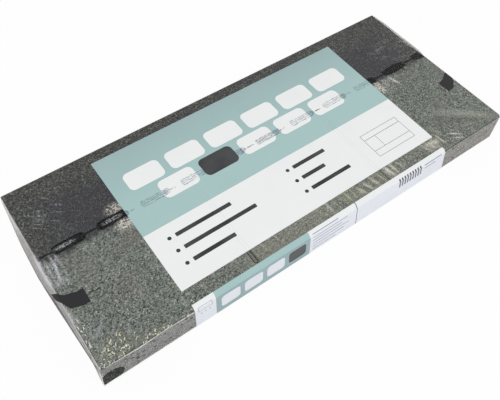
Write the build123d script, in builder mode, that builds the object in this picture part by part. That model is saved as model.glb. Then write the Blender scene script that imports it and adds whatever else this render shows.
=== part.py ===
from build123d import *
import os
from math import sin, sqrt

# Asphalt shingle bundle: three-tab bitumen shingles, every second one turned end for end,
# in a clear shrink film with welded pillow ends.
# Millimetres. Origin at the middle of the underside, +X along the sheets, -Y the front edge, +Z up.

# Shingle sheet
sheet_length = 1000.0
sheet_depth = 425.0
sheet_thickness = 3.2
sheet_count = 22
sheet_gap = 0.1            # air between two sheets of the stack
tab_count = 3
slot_width = 7.5           # cut-out between two tabs
slot_length = 228.0        # from the tabs' front edge to the slot's round end
shuffle = 0.5              # how far a sheet strays from the stack's middle
shuffle_turn = 2.4         # radians from one sheet's stray to the next, so no two neighbours agree

# Bitumen sealing strip on the top sheet: dabs of three beads, linked by thin tails
dab_line_back = 248.0      # from the tabs' front edge to the strip's middle line
dab_lead = 30.0            # from the sheet's left end to the first dab
dab_pitch = 94.0
dab_length = 66.0
dab_width = 13.0
dab_base = 0.25            # smeared film of bitumen under the beads
bead_count = 3
bead_width = 3.0
bead_spacing = 4.3
bead_end_margin = 4.0      # a bead stops this far short of the dab's end
bead_height = 0.8
bead_draft = 12.0          # degrees, the beads' sides lean in
tail_width_wide = 6.0      # where a tail leaves its dab
tail_width_narrow = 2.0    # where it meets the next one

# Shrink film
film_thickness = 0.25
film_play = 0.3            # air between the film and the furthest sheet, and under the stack
film_head_play = 0.15      # air between the film and the beads
end_bulge = 12.0           # how far the welded ends belly out, seen from above
end_roll = 16.0            # depth of the arc that rolls them in at the top and bottom edge
weld_width = 2.0           # fin that the hot bar leaves along each end
weld_thickness = 0.6
corner_safety = 0.9        # share of the largest bend that still clears a sheet's square corner
trim_overshoot = 1.0       # how far the outlines that shape the ends run past the body

# Open corner of the film, low at the front left
corner_open_length = 38.0
corner_open_height = 34.0
corner_open_reach = 20.0

# Places that follow from the sizes above
sheet_pitch = sheet_thickness + sheet_gap
stack_base = film_thickness + film_play
top_sheet_z = stack_base + (sheet_count - 1) * sheet_pitch
top_sheet_face = top_sheet_z + sheet_thickness
dab_line_y = dab_line_back - sheet_depth / 2
side_play = shuffle + film_play
wrap_length = sheet_length + 2 * (side_play + film_thickness)
wrap_depth = sheet_depth + 2 * (side_play + film_thickness)
wrap_height = top_sheet_face + bead_height + film_head_play + film_thickness
inner_bend = corner_safety * film_play / (1 - sqrt(0.5))
outer_bend = inner_bend + film_thickness

tab_width = sheet_length / tab_count
slot_places = [-sheet_length / 2 + tab_width * n for n in range(1, tab_count)]


def sheet_profile():
    """Sheet seen from above, its tabs to the front, drawn into the open sketch."""
    Rectangle(sheet_length, sheet_depth)
    with Locations(*[(x, -sheet_depth / 2) for x in slot_places]):
        SlotOverall(2 * slot_length, slot_width, rotation=90, mode=Mode.SUBTRACT)


def dab_starts():
    """Left ends of the dabs, counted until one would start past the sheet's right end."""
    starts = []
    start = -sheet_length / 2 + dab_lead
    while start < sheet_length / 2:
        starts.append(start)
        start += dab_pitch
    return starts


def bellied_ends(length, width, bulge):
    """Outline whose round ends pass through a body's four corners and run on past its sides."""
    half, side = length / 2, width / 2
    radius = (side**2 + bulge**2) / (2 * bulge)
    far_side = side + trim_overshoot
    far_half = half + bulge - radius + sqrt(radius**2 - far_side**2)
    Line((-far_half, -far_side), (far_half, -far_side))
    ThreePointArc((far_half, -far_side), (half + bulge, 0), (far_half, far_side))
    Line((far_half, far_side), (-far_half, far_side))
    ThreePointArc((-far_half, far_side), (-half - bulge, 0), (-far_half, -far_side))


def pillow(length, depth, height, base, bend):
    """Body of the wrap: its ends belly in plan and in side view and meet in envelope folds."""
    middle = base + height / 2
    from_left = Plane(origin=(-length / 2 - end_bulge, 0, middle), x_dir=(0, 1, 0), z_dir=(1, 0, 0))
    from_front = Plane(origin=(0, 0, middle), x_dir=(1, 0, 0), z_dir=(0, -1, 0))
    with BuildPart() as body:
        with BuildSketch(from_left):
            RectangleRounded(depth, height, bend)
        extrude(amount=length + 2 * end_bulge)
        with BuildSketch(Plane.XY.offset(middle)):
            with BuildLine():
                bellied_ends(length, depth, end_bulge)
            make_face()
        extrude(amount=height, both=True, mode=Mode.INTERSECT)
        with BuildSketch(from_front):
            with BuildLine():
                bellied_ends(length, height, end_roll)
            make_face()
        extrude(amount=depth, both=True, mode=Mode.INTERSECT)
    return body.part


# Top shingle, its tabs to the front
with BuildPart() as top_shingle:
    with BuildSketch(Plane.XY.offset(top_sheet_z)):
        sheet_profile()
    extrude(amount=sheet_thickness)

# The sheets under it: the next one down is turned, so its slots open at the back
with BuildPart() as shingle_stack:
    for layer in range(sheet_count - 1):
        turned = (sheet_count - layer) % 2 == 0
        stray_x = shuffle * sin(shuffle_turn * layer)
        stray_y = shuffle * sin(shuffle_turn * layer + 1)
        sheet_plane = Plane(
            origin=(stray_x, stray_y, stack_base + layer * sheet_pitch),
            x_dir=(-1, 0, 0) if turned else (1, 0, 0),
            z_dir=(0, 0, 1),
        )
        with BuildSketch(sheet_plane):
            sheet_profile()
        extrude(amount=sheet_thickness)

# Sealing strip: smeared dabs, their beads and the tails that link them, cut off with the sheet
with BuildPart() as sealing_strip:
    with BuildSketch(Plane.XY.offset(top_sheet_face)):
        for start in dab_starts():
            with Locations((start + dab_length / 2, dab_line_y)):
                SlotOverall(dab_length, dab_width)
            with BuildLine():
                tail_start = start + dab_length - dab_width / 2
                tail_end = start + dab_pitch + dab_width / 2
                Polyline(
                    (tail_start, dab_line_y - tail_width_wide / 2),
                    (tail_end, dab_line_y - tail_width_narrow / 2),
                    (tail_end, dab_line_y + tail_width_narrow / 2),
                    (tail_start, dab_line_y + tail_width_wide / 2),
                    close=True,
                )
            make_face()
    extrude(amount=dab_base)
    with BuildSketch(Plane.XY.offset(top_sheet_face)):
        for start in dab_starts():
            with Locations((start + dab_length / 2, dab_line_y)):
                with GridLocations(0, bead_spacing, 1, bead_count):
                    SlotOverall(dab_length - 2 * bead_end_margin, bead_width)
    extrude(amount=bead_height, taper=bead_draft)
    with BuildSketch(Plane.XY.offset(top_sheet_face)):
        Rectangle(sheet_length, sheet_depth)
    extrude(amount=bead_height, mode=Mode.INTERSECT)

# Shrink film: a thin pillow with a weld fin round each end and one corner left open
wrap_outside = pillow(wrap_length, wrap_depth, wrap_height, 0, outer_bend)
wrap_inside = pillow(
    wrap_length - 2 * film_thickness,
    wrap_depth - 2 * film_thickness,
    wrap_height - 2 * film_thickness,
    film_thickness,
    inner_bend,
)
with BuildPart() as shrink_film:
    add(wrap_outside)
    with BuildSketch(Plane.XY.offset((wrap_height - weld_thickness) / 2)):
        with BuildLine():
            bellied_ends(wrap_length, wrap_depth, end_bulge + weld_width)
        make_face()
        Rectangle(2 * wrap_length, wrap_depth - 2 * outer_bend, mode=Mode.INTERSECT)
    extrude(amount=weld_thickness)
    add(wrap_inside, mode=Mode.SUBTRACT)
    with BuildSketch(Plane.XZ.offset(wrap_depth / 2)):
        with Locations((-wrap_length / 2, 0)):
            Ellipse(corner_open_length, corner_open_height)
    extrude(amount=-corner_open_reach, mode=Mode.SUBTRACT)

os.makedirs("parts", exist_ok=True)

top_shingle.part.label = "top_shingle"
shingle_stack.part.label = "shingle_stack"
sealing_strip.part.label = "sealing_strip"
shrink_film.part.label = "shrink_film"

export_step(top_shingle.part, "parts/top_shingle.step")
export_step(shingle_stack.part, "parts/shingle_stack.step")
export_step(sealing_strip.part, "parts/sealing_strip.step")
export_step(shrink_film.part, "parts/shrink_film.step")
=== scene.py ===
import math
import random
from contextlib import contextmanager

import bpy
from mathutils import Matrix, Vector, noise


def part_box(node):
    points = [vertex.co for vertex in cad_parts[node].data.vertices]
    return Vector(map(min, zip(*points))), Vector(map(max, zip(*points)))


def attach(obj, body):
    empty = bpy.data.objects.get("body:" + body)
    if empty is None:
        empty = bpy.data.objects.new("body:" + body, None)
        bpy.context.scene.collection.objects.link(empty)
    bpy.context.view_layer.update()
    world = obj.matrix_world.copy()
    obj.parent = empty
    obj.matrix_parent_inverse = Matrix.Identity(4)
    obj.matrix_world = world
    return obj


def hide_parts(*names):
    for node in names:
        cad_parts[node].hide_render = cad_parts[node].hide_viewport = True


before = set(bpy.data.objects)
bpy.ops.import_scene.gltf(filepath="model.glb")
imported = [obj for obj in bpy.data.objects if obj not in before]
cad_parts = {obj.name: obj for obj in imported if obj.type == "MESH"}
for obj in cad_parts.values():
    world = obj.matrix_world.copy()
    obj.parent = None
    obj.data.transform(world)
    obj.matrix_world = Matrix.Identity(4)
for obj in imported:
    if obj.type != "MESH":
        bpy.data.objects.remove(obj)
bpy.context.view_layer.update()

MM = 0.001

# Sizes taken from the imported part, in millimetres
sheet_low, sheet_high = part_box("top_shingle")
_, film_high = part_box("shrink_film")
half_length = sheet_high[0] / MM
half_depth = sheet_high[1] / MM
sheet_top = sheet_high[2] / MM
sheet_thickness = (sheet_high[2] - sheet_low[2]) / MM
film_half_depth = film_high[1] / MM
film_margin = film_half_depth - half_depth
film_half_length = half_length + film_margin

# Shingle sheets, as on the solids
sheet_count = 22
sheet_pitch = 3.3
sheet_stray, stray_turn = 0.4, 2.4   # how far a sheet strays, and radians from one stray to the next
slot_places = (-1000.0 / 6, 1000.0 / 6)
slot_half = 3.75
slot_end = -half_depth + 228.0       # where a slot's round end reaches
dab_line = 35.5
strip_drift = 3.3              # how far the strip has drifted back at its left end
dab_first, dab_pitch, dab_length = -437.0, 94.0, 66.0
dab_half_width = 10.4
first_spindle = 9              # from this dab on they are pointed spindles
spindle_half_width = 11.4
bead_spacing = 6.4
bead_half_width = 2.4
bead_height = 0.68
dab_reach = 14.0               # no bitumen lies further than this from the strip's middle line
pale_bead_reach = 3.4

# Film, as it clings to the stack
film_cling = 0.35              # height of the film over the top sheet
film_bend = 1.5                # radius of the film over the long edges
relief_least, relief_most = -0.28, 0.8     # deepest dent and highest crease of the clinging film
slot_dent = 0.35               # how far the film sinks into a slot
lean_most = 6.5                # how far the foot of the front left corner stands out
far_foot_pull, far_foot_lift, far_foot_height = 2.0, 1.0, 22.0     # the far corner is drawn in and up
end_roll = 15.5                # depth of the arc that rolls the welded ends in
weld_fin = 1.6
weld_half_thickness = 0.3
film_top = sheet_top + film_cling

# Bellies of the welded ends seen from above, as (y, how far out)
left_belly = ((-214, 0), (-186, 3.5), (-169, 3.8), (-132, 5.5), (-95, 7), (-55, 9), (-15, 10.5), (25, 11.4),
              (66, 10.2), (109, 8.8), (151, 6), (195, 2.6), (214, 0))
right_belly = ((-214, 0), (-160, 4.5), (-100, 6), (-55, 5.5), (-20, 7.5), (20, 10), (60, 12), (110, 12.2),
               (160, 10.5), (195, 6), (214, 0))

# The film's slope over the worn front top edge, as (distance in from the front, drop below the top)
front_slope = ((8.2, 0.0), (7.0, 0.1), (6.0, 0.55), (5.1, 1.35), (4.1, 2.7), (3.1, 4.05), (2.1, 5.4),
               (1.15, 6.75), (0.45, 8.0), (0.1, 9.4), (0.0, 10.8))
slope_in, slope_drop = front_slope[0][0], front_slope[-1][1]
fold_drop = 7.5                # flat distance from the top's plain edge to the fold of the front face
sheet_recess = (5.5, 3.0)      # how far the front edges of the second and third sheet stand back under it
edge_wear_stops = ((-501, 0.2), (-470, 0.6), (-428, 1.15), (-400, 0.85), (-375, 0.6), (-340, 0.85),
                   (-316, 1.0), (312, 1.0), (330, 0.45), (383, 0.55), (432, 0.45), (501, 0.5))

# Print on the film, by flat coordinates: u runs along the bundle, v over the girth from back to front
panel_left, panel_right = -316.0, 327.0
panel_back, panel_split, panel_front = 185.0, -31.0, -170.0
band_left, band_right = -316.0, 323.0
band_back = -202.0
band_skew = 15.0               # how far the band's print has crept to the right at the bottom edge
front_fold = 0.05 - film_half_depth
front_base = front_fold - film_top
underside_gap = 3.0            # in flat coordinates, past the bend at the foot of the front
back_wall_v, back_foot_v = 300.0, 400.0
mark_left_inner, mark_right_inner = -457.0, 461.0
mark_back, mark_front = -61.0, -93.0
mark_middle = (mark_back + mark_front) / 2

# Open corner of the film, low at the front left
corner_x, corner_z = -488.0, 23.0
corner_half_length, corner_half_height = 24.0, 23.0

random.seed(7)


def linear(hex_colour):
    """An sRGB hex colour as linear numbers with full alpha."""
    parts = [int(hex_colour[i:i + 2], 16) / 255 for i in (1, 3, 5)]
    return [c / 12.92 if c <= 0.04045 else ((c + 0.055) / 1.055) ** 2.4 for c in parts] + [1.0]


def node(tree, kind, inputs=None, **settings):
    """Adds a node, sets its properties and fills its inputs with values, hex colours or links.

    A node given as an input is linked by its first output. MapRange takes its inputs 1 to 2 and gives 3 to 4.
    """
    made = tree.nodes.new("ShaderNode" + kind)
    for name, value in settings.items():
        setattr(made, name, value)
    for key, value in (inputs or {}).items():
        if isinstance(value, str):
            value = linear(value)
        if isinstance(value, bpy.types.Node):
            value = value.outputs[0]
        if isinstance(value, bpy.types.NodeSocket):
            tree.links.new(value, made.inputs[key])
        else:
            made.inputs[key].default_value = value
    return made


def combined(tree, operation, masks):
    """One mask from several, joined in turn by an operation."""
    total = masks[0]
    for mask in masks[1:]:
        total = node(tree, "Math", {0: total, 1: mask}, operation=operation, use_clamp=True)
    return total


def any_of(tree, *masks):
    """1 where any of the masks is 1."""
    return combined(tree, "MAXIMUM", masks)


def all_of(tree, *masks):
    """1 where all of the masks are 1: their product."""
    return combined(tree, "MULTIPLY", masks)


def without(tree, *masks):
    """The first mask where the others are 0."""
    return combined(tree, "SUBTRACT", masks)


def painted(tree, colour, *layers):
    """A colour with others laid over it in turn, each given as its mask and itself."""
    for mask, over in layers:
        colour = node(tree, "Mix", {0: mask, 6: colour, 7: over}, data_type="RGBA").outputs[2]
    return colour


def crinkled(tree, point, size, detail, strength):
    """A bump of random dents of the given size in millimetres."""
    dents = node(tree, "TexNoise", {"Vector": point, "Scale": 1 / (size * MM), "Detail": detail})
    return node(tree, "Bump", {"Height": dents, "Strength": strength, "Distance": 1.0 * MM})


def with_stops(ramp_node, stops):
    """The colour ramp, filled with hex colours at the given places."""
    elements = ramp_node.color_ramp.elements
    while len(elements) > 1:
        elements.remove(elements[-1])
    elements[0].position, elements[0].color = stops[0][0], linear(stops[0][1])
    for position, colour in stops[1:]:
        elements.new(position).color = linear(colour)
    return ramp_node


def new_material(name, surface, *choices):
    """A material whose nodes are built in its empty tree by the given function."""
    material = bpy.data.materials.new(name)
    material.use_nodes = True
    tree = material.node_tree
    tree.nodes.clear()
    node(tree, "OutputMaterial", {"Surface": surface(tree, *choices)})
    return material


def deselect_all():
    if bpy.context.object and bpy.context.object.mode != "OBJECT":
        bpy.ops.object.mode_set(mode="OBJECT")
    bpy.ops.object.select_all(action="DESELECT")


@contextmanager
def editing():
    """Edit mode for the steps within, with all of the active piece selected."""
    bpy.ops.object.mode_set(mode="EDIT")
    bpy.ops.mesh.select_all(action="SELECT")
    yield
    bpy.ops.object.mode_set(mode="OBJECT")


def smoothstep(low, high, value):
    t = min(max((value - low) / (high - low), 0.0), 1.0)
    return t * t * (3 - 2 * t)


def within(low, low_full, high_full, high, value):
    """1 between the two inner values, fading to 0 at the outer ones."""
    return smoothstep(low, low_full, value) * smoothstep(high, high_full, value)


def noise_at(x, y, z):
    """A smooth random value, from about -1 to 1, that changes over a distance of one."""
    return noise.noise(Vector((x, y, z)))


def spaced(start, stop, step):
    """Values from start towards stop in even steps near the given size, without the last."""
    count = max(1, round(abs(stop - start) / step))
    return [start + (stop - start) * i / count for i in range(count)]


def corner_lean(x, y, z):
    """How far the low part of the front left corner stands out to the left."""
    return lean_most * smoothstep(-440, -500, x) * smoothstep(-184, -212, y) * max(0.0, 1 - z / film_top)


def between(stops, value):
    """The height at a value on a line of straight pieces through the given (value, height) stops."""
    for (low, first), (high, last) in zip(stops, stops[1:]):
        if value <= high:
            return first + (last - first) * max(0.0, value - low) / (high - low)
    return stops[-1][1]


def edge_wear(x):
    """How much of the worn front edge's full slope there is at a place along the bundle."""
    return between(edge_wear_stops, x)


def fold_line(u):
    """Flat coordinate of the fold where the worn slope meets the front face."""
    return front_fold - fold_drop * edge_wear(u)


def through(stops, step):
    """Even steps between each two stops, so every stop is one of the values."""
    values = []
    for first, last in zip(stops, stops[1:]):
        values += spaced(first, last, step)
    return values + [stops[-1]]


# Camera and light

camera_place = Vector((-0.5219, -0.6271, 1.0770))
camera_right = Vector((0.81082, -0.58487, 0.02251))
camera_forward = Vector((0.36292, 0.47221, -0.80331))
camera_focal_px = 608.96
picture_width_px = 500
sensor_width = 36.0
optical_centre_above_px = 20.0


def make_camera():
    camera = bpy.data.cameras.new("camera")
    camera.sensor_width = sensor_width
    camera.lens = camera_focal_px / picture_width_px * sensor_width
    camera.shift_y = -optical_centre_above_px / picture_width_px
    camera.clip_start, camera.clip_end = 0.05, 30.0
    holder = bpy.data.objects.new("camera", camera)
    bpy.context.scene.collection.objects.link(holder)
    up = camera_right.cross(camera_forward)
    turn = Matrix((camera_right, up, -camera_forward)).transposed()
    holder.matrix_world = Matrix.Translation(camera_place) @ turn.to_4x4()
    bpy.context.scene.camera = holder


def softbox(name, place, target, width, height, radiance, colour):
    """An area lamp of a given radiance, aimed at a point."""
    lamp = bpy.data.lights.new(name, "AREA")
    lamp.shape = "RECTANGLE"
    lamp.size, lamp.size_y = width, height
    lamp.energy = radiance * math.pi * width * height
    lamp.color = linear(colour)[:3]
    holder = bpy.data.objects.new(name, lamp)
    bpy.context.scene.collection.objects.link(holder)
    direction = Vector(target) - Vector(place)
    holder.rotation_euler = direction.to_track_quat("-Z", "Y").to_euler()
    holder.location = place


def background_rays(tree):
    """1 for the rays that see the white background: straight ones, mirrored ones and those through film."""
    rays = node(tree, "LightPath").outputs
    return any_of(tree, *[rays[kind] for kind in ("Is Camera Ray", "Is Glossy Ray", "Is Transmission Ray")])


def make_light():
    """An even pale room, white where the camera looks, with a few softboxes that the film's creases catch."""
    world = bpy.data.worlds.new("studio")
    bpy.context.scene.world = world
    world.use_nodes = True
    tree = world.node_tree
    tree.nodes.clear()
    seen = background_rays(tree)
    room = node(tree, "Background", {"Color": "#F6F8FB", "Strength": 0.78})
    white = node(tree, "Background", {"Color": (1, 1, 1, 1), "Strength": 1.0})
    mixed = node(tree, "MixShader", {0: seen, 1: room, 2: white})
    node(tree, "OutputWorld", {"Surface": mixed})
    softbox("lamp_above", (-0.45, -0.5, 1.9), (0, -0.1, 0), 0.9, 0.6, 2.8, "#FFFDF8")
    softbox("lamp_back", (1.95, 0.95, 0.8), (0.1, 0, 0), 0.4, 0.7, 3.6, "#FFF6E0")
    softbox("lamp_left", (-1.3, 1.2, 1.0), (-0.2, 0, 0), 0.8, 0.3, 3.5, "#F4F2FF")
    softbox("lamp_front", (0.3, -1.9, 0.9), (0, -0.1, 0), 1.2, 0.5, 2.4, "#EEF2FF")


def make_floor():
    """Pale studio table, near white to the camera, that still keeps the object's soft shadow."""
    deselect_all()
    bpy.ops.mesh.primitive_plane_add(size=18)
    floor = bpy.context.object
    floor.name = "studio_floor"
    floor.data.materials.append(new_material("white_table", white_table))


def white_table(tree):
    """Matt white table top, almost as white to the camera as the background, so its shadows stay faint."""
    paper = node(tree, "BsdfPrincipled", {"Base Color": "#F2F2F2", "Roughness": 0.9})
    glow = node(tree, "Emission", {"Color": (1, 1, 1, 1), "Strength": 1.0})
    return node(tree, "MixShader", {0: all_of(tree, background_rays(tree), 0.95), 1: paper, 2: glow})


# Shingle sheets

def granule_felt(tree, border):
    """Mineral-surfaced bitumen felt: pressed slate granules, grey-green on the tabs and charcoal above."""
    place = node(tree, "TexCoord").outputs["Object"]
    x, y, _ = node(tree, "SeparateXYZ", {0: place}).outputs
    # Granules are about 1.3 mm, too fine for the picture, so their clumps of 2 to 3 mm carry the speckle
    clumps = node(tree, "TexVoronoi", {"Vector": place, "Scale": 1 / (2.1 * MM)})
    granules = node(tree, "TexVoronoi", {"Vector": place, "Scale": 1 / (1.4 * MM)})
    clump_tone = node(tree, "SeparateColor", {0: clumps.outputs["Color"]})
    granule_tone = node(tree, "SeparateColor", {0: granules.outputs["Color"]})
    level = node(tree, "Math", {0: clump_tone, 1: 0.65, 2: all_of(tree, granule_tone, 0.35)},
                 operation="MULTIPLY_ADD")
    green = with_stops(node(tree, "ValToRGB", {0: level}), (
        (0.1, "#222523"), (0.27, "#4E534D"), (0.45, "#79817A"), (0.7, "#8F968C"), (0.85, "#B2B6A8"),
        (0.95, "#DDDDCF")))
    charcoal = with_stops(node(tree, "ValToRGB", {0: level}), (
        (0.15, "#2B2B2F"), (0.5, "#3F3F44"), (0.85, "#4C4C51"), (0.93, "#8B8883")))
    coarse = with_stops(node(tree, "ValToRGB", {0: level}), (
        (0.15, "#222323"), (0.45, "#3F413E"), (0.75, "#5F615B"), (0.93, "#A09E94")))
    # The headlap is smooth in its middle and keeps a coarser grain towards its back edge and its ends
    patches = node(tree, "TexNoise", {"Vector": place, "Scale": 1 / (45 * MM), "Detail": 3.0})
    from_middle = node(tree, "Math", {0: x}, operation="ABSOLUTE")
    by_end = node(tree, "MapRange", {0: from_middle, 1: 405 * MM, 2: 500 * MM})
    by_back = node(tree, "MapRange", {0: y, 1: 125 * MM, 2: 185 * MM})
    patchy = node(tree, "Math", {0: any_of(tree, by_end, by_back), 1: patches}, operation="ADD")
    grainy = node(tree, "MapRange", {0: patchy, 1: 0.55, 2: 1.3})
    # Green granules thin out in streaks below the sealing dabs
    stretched = node(tree, "Mapping", {0: place, 3: (1 / (9 * MM), 1 / (34 * MM), 1.0)})
    streaks = node(tree, "TexNoise", {"Vector": stretched, "Scale": 1.0, "Detail": 4.0})
    line = node(tree, "Math", {0: streaks, 1: -44 * MM, 2: (border + 17) * MM}, operation="MULTIPLY_ADD")
    over = node(tree, "Math", {0: y, 1: line}, operation="SUBTRACT")
    headlap_share = node(tree, "MapRange", {0: over, 1: -9 * MM, 2: 6 * MM})
    blotches = node(tree, "TexNoise", {"Vector": place, "Scale": 1 / (60 * MM), "Detail": 2.0})
    blush = node(tree, "MapRange", {0: blotches, 1: 0.5, 2: 0.75, 3: 0.0, 4: 0.35})
    headlap = painted(tree, charcoal, (grainy, coarse))
    colour = painted(tree, green, (blush, "#857D74"), (headlap_share, headlap))
    height = node(tree, "Math", {0: granules, 1: -1.0}, operation="MULTIPLY")
    bump = node(tree, "Bump", {"Height": height, "Strength": 0.6, "Distance": 0.4 * MM})
    return node(tree, "BsdfPrincipled", {
        "Base Color": colour, "Roughness": 0.85, "Specular IOR Level": 0.3, "Normal": bump})


def cut_felt_edge(tree):
    """Cut felt edges: black bitumen with pale stone grains, seen bare where the film is open."""
    place = node(tree, "TexCoord").outputs["Object"]
    grains = node(tree, "TexVoronoi", {"Vector": place, "Scale": 1 / (2.6 * MM)})
    tone = node(tree, "SeparateColor", {0: grains.outputs["Color"]})
    colour = with_stops(node(tree, "ValToRGB", {0: tone}), (
        (0.3, "#131414"), (0.65, "#242624"), (0.85, "#3E413B"), (0.97, "#74766C")))
    return node(tree, "BsdfPrincipled", {"Base Color": colour, "Roughness": 0.8, "Specular IOR Level": 0.3})


def in_mm(mesh):
    """Each point of a mesh with its place in millimetres."""
    for vertex in mesh.vertices:
        yield (vertex, *(vertex.co / MM))


def grid_piece(name, columns, rows):
    """A grid whose columns and rows stand at the given places, ready to be shaped."""
    deselect_all()
    bpy.ops.mesh.primitive_grid_add(x_subdivisions=len(columns) - 1, y_subdivisions=len(rows) - 1, size=2)
    piece = bpy.context.object
    piece.name = name
    for vertex in piece.data.vertices:
        x = columns[round((vertex.co.x + 1) / 2 * (len(columns) - 1))]
        y = rows[round((vertex.co.y + 1) / 2 * (len(rows) - 1))]
        vertex.co = (x * MM, y * MM, 0.0)
    return piece


def delete_faces(piece, unwanted):
    """Deletes the faces that a test picks out."""
    with editing():
        bpy.ops.mesh.select_mode(type="FACE")
        bpy.ops.mesh.select_all(action="DESELECT")
    for face in piece.data.polygons:
        face.select = unwanted(face)
    bpy.ops.object.mode_set(mode="EDIT")
    bpy.ops.mesh.delete(type="FACE")
    bpy.ops.object.mode_set(mode="OBJECT")


def finish_shell(piece, angle):
    """Merges doubles, turns the faces outwards and smooths the soft edges."""
    deselect_all()
    piece.select_set(True)
    bpy.context.view_layer.objects.active = piece
    with editing():
        bpy.ops.mesh.remove_doubles(threshold=0.01 * MM)
        bpy.ops.mesh.normals_make_consistent(inside=False)
    bpy.ops.object.shade_smooth_by_angle(angle=math.radians(angle))


def cut_sheet(name, step):
    """A flat felt with its tabs to the front: a grid with the slots cut out of it and their ends rounded."""
    columns = through([-half_length, slot_places[0] - slot_half, slot_places[0] + slot_half,
                       slot_places[1] - slot_half, slot_places[1] + slot_half, half_length], step)
    rows = through([-half_depth, slot_end - slot_half, slot_end, half_depth], step)
    sheet = grid_piece(name, columns, rows)

    def in_slot(face):
        x, y, _ = face.center / MM
        return y < slot_end and any(abs(x - place) < slot_half for place in slot_places)

    delete_faces(sheet, in_slot)
    for vertex, x, y, _ in in_mm(sheet.data):
        for place in slot_places:
            if abs(x - place) < slot_half + 0.01 and slot_end - slot_half - 0.01 < y < slot_end + 0.01:
                across = (x - place) / slot_half
                vertex.co.y = (slot_end - slot_half * (1 - math.sqrt(max(0.0, 1 - across ** 2)))) * MM
    return sheet


def ragged(mesh, seed):
    """Roughens the outline of a flat sheet, without leaving the sheet's own size."""
    for vertex, x, y, z in in_mm(mesh):
        coarse = noise_at(x / 14, y / 14, seed + 0.4 * z)
        fine = noise_at(x / 4, y / 4, seed + 40 + 0.4 * z)
        stray = max(0.0, 0.25 + 0.35 * coarse + 0.35 * fine)
        if abs(y) > half_depth - 0.6:
            vertex.co.y -= math.copysign(stray, y) * MM
        if abs(x) > half_length - 0.6:
            vertex.co.x -= math.copysign(stray, x) * MM


def drape_front(mesh):
    """Bends the front edge of the top sheet down over the worn edge of the bundle."""
    path = [0.0]
    for (inset, drop), (next_inset, next_drop) in zip(front_slope, front_slope[1:8]):
        path.append(path[-1] + math.hypot(next_inset - inset, next_drop - drop))
    insets = [(along, inset) for along, (inset, _) in zip(path, front_slope)]
    drops = [(along, drop) for along, (_, drop) in zip(path, front_slope)]
    for vertex, x, y, _ in in_mm(mesh):
        wear = edge_wear(x)
        inset = (y + half_depth) / wear
        if inset < slope_in:
            along = path[-1] * (1 - inset / slope_in)
            vertex.co.y = (-half_depth + 0.3 + wear * between(insets, along)) * MM
            vertex.co.z -= wear * between(drops, along) * MM


def recess_front(mesh, depth):
    """Sets a sheet's front edge back under the bent edge of the top sheet."""
    for vertex, x, y, _ in in_mm(mesh):
        vertex.co.y += depth * edge_wear(x) * smoothstep(-half_depth + 22, -half_depth + 1, y) * MM


def make_top_shingle(material, edge):
    """The top sheet, with the granules' own relief on its face."""
    sheet = cut_sheet("top_shingle_felt", 2.7)
    with editing():
        bpy.ops.mesh.select_mode(type="EDGE")
        bpy.ops.mesh.region_to_loop()
        for share in (0.45, 0.5):
            bpy.ops.mesh.extrude_region_move(
                TRANSFORM_OT_translate={"value": (0, 0, -share * sheet_thickness * MM)})
        bpy.ops.mesh.edge_face_add()
    for face in sheet.data.polygons:
        face.material_index = 0 if abs(face.normal.z) > 0.5 or face.normal.y < -0.5 else 1
    for vertex, x, y, z in in_mm(sheet.data):
        rise = 0.0
        if z > -0.1:
            swell = noise_at(x / 60, y / 60, 3.0)
            clump = noise_at(x / 5, y / 5, 8.0)
            grain = random.uniform(-0.12, 0.12) * (1.0 if y < dab_line else 0.5)
            rise = 0.06 * swell + 0.1 * clump + grain
        vertex.co.z = (sheet_top - 0.12 + rise + z) * MM
    ragged(sheet.data, 2.0)
    drape_front(sheet.data)
    sheet.data.materials.append(material)
    sheet.data.materials.append(edge)
    finish_shell(sheet, 40)
    return sheet


def make_stack(material, edge):
    """The 21 sheets under the top one: a sheet cut once, then laid in turn, each with its own ragged edge."""
    pattern = cut_sheet("stacked_shingles", 5.0)
    with editing():
        bpy.ops.mesh.dissolve_faces()
        bpy.ops.mesh.select_all(action="SELECT")
        bpy.ops.mesh.extrude_region_move(TRANSFORM_OT_translate={"value": (0, 0, sheet_thickness * MM)})
    layers = [pattern]
    for _ in range(sheet_count - 2):
        copy = pattern.copy()
        copy.data = pattern.data.copy()
        bpy.context.scene.collection.objects.link(copy)
        layers.append(copy)
    for layer, sheet in enumerate(layers):
        turn = -1 if (sheet_count - layer) % 2 == 0 else 1
        ragged(sheet.data, 10.0 + 7 * layer)
        stray_x, stray_y = (sheet_stray * math.sin(stray_turn * layer + lag) for lag in (0, 1))
        low = sheet_top - sheet_thickness - (sheet_count - 1 - layer) * sheet_pitch
        for vertex in sheet.data.vertices:
            x, y, z = vertex.co
            vertex.co = (turn * x + stray_x * MM, turn * y + stray_y * MM, z + low * MM)
        below_top = sheet_count - 2 - layer
        if below_top < len(sheet_recess):
            recess_front(sheet.data, sheet_recess[below_top])
        for vertex, x, y, z in in_mm(sheet.data):
            # The lowest sheets are short at the right end, which rounds the far corner of the bundle
            pull = 1.2 * max(0, 4 - layer) * smoothstep(half_length - 40, half_length, x)
            vertex.co.x -= (pull + corner_lean(x, y, z)) * MM
    deselect_all()
    for sheet in layers:
        sheet.select_set(True)
    bpy.context.view_layer.objects.active = pattern
    bpy.ops.object.join()
    stack = bpy.context.object
    stack.data.materials.append(edge)
    stack.data.materials.append(material)
    for face in stack.data.polygons:
        face.material_index = 1 if abs(face.normal.z) > 0.5 else 0
    finish_shell(stack, 40)
    return stack


# Sealing strip

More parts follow.
